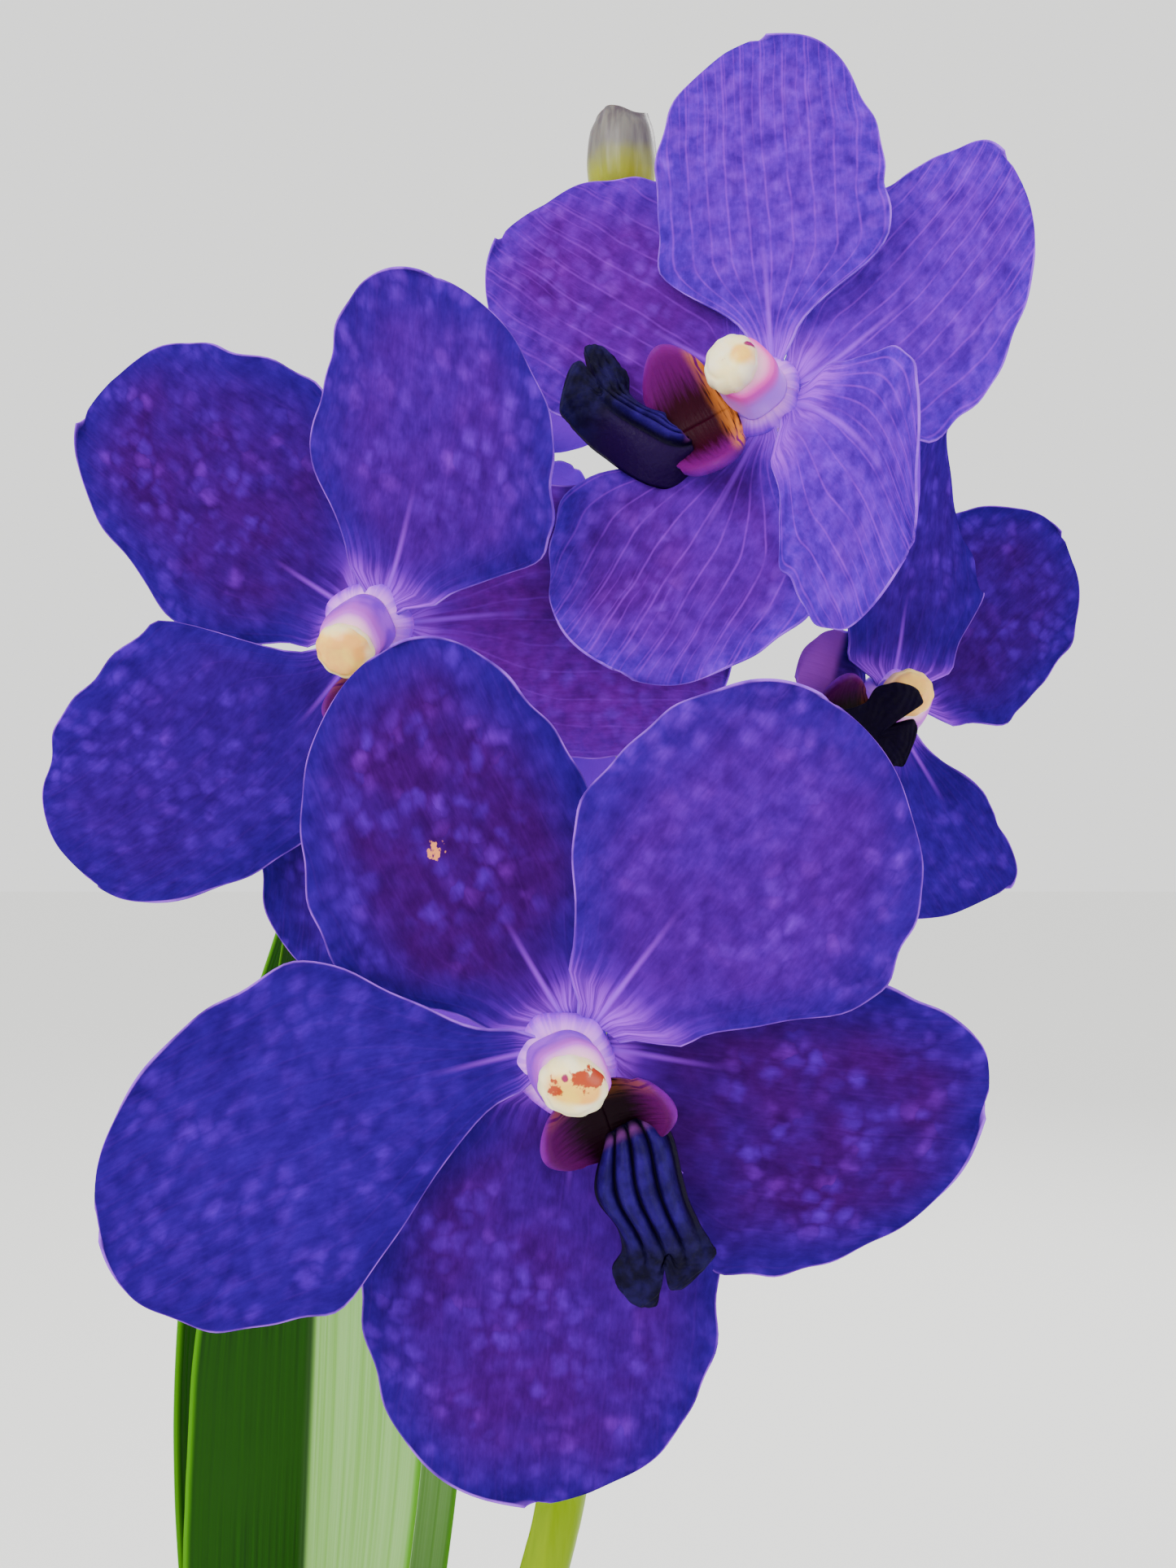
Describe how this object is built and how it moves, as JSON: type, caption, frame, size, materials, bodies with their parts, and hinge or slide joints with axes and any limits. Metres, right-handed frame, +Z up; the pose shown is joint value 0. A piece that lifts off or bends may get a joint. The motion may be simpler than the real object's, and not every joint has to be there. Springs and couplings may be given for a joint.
{
  "type": "vanda orchid in a glass vase",
  "caption": "Flowering vanda orchid with a spike of large blue-violet blooms and strap leaves, its bare roots standing in a clear glass vase.",
  "frame": {"origin": "centre of the vase's flat foot", "axes": "+Z up along the vase and the cane, -Y towards the front bloom, +X to the viewer's right"},
  "size_m": [0.1781, 0.3928, 0.5316],
  "materials": {
    "vase_glass": "polished",
    "root_velamen": "matte",
    "cane_sheath": "matte",
    "leaf_green": "satin",
    "stem_green": "satin",
    "bud_green": "satin",
    "tepal_violet": "satin",
    "top_tepal_violet": "satin",
    "lip_blue_black": "satin",
    "side_lobe_magenta": "satin",
    "column_cream": "satin"
  },
  "bodies": {
    "root": {"vase": "vase_glass", "roots": "root_velamen", "cane": "cane_sheath", "leaf_back_1": "leaf_green", "leaf_back_2": "leaf_green", "leaf_back_3": "leaf_green", "leaf_back_4": "leaf_green", "leaf_back_5": "leaf_green", "leaf_front_1": "leaf_green", "leaf_front_2": "leaf_green", "leaf_front_3": "leaf_green", "rachis": "stem_green", "bud": "bud_green", "front_tepals": "tepal_violet", "front_lip": "lip_blue_black", "front_side_lobes": "side_lobe_magenta", "front_column": "column_cream", "left_tepals": "tepal_violet", "left_lip": "lip_blue_black", "left_side_lobes": "side_lobe_magenta", "left_column": "column_cream", "top_tepals": "top_tepal_violet", "top_lip": "lip_blue_black", "top_side_lobes": "side_lobe_magenta", "top_column": "column_cream", "right_tepals": "tepal_violet", "right_lip": "lip_blue_black", "right_side_lobes": "side_lobe_magenta", "right_column": "column_cream", "back_tepals": "tepal_violet", "back_lip": "lip_blue_black", "back_side_lobes": "side_lobe_magenta", "back_column": "column_cream", "rear_tepals": "tepal_violet", "rear_lip": "lip_blue_black", "rear_side_lobes": "side_lobe_magenta", "rear_column": "column_cream"}
  },
  "joints": []
}
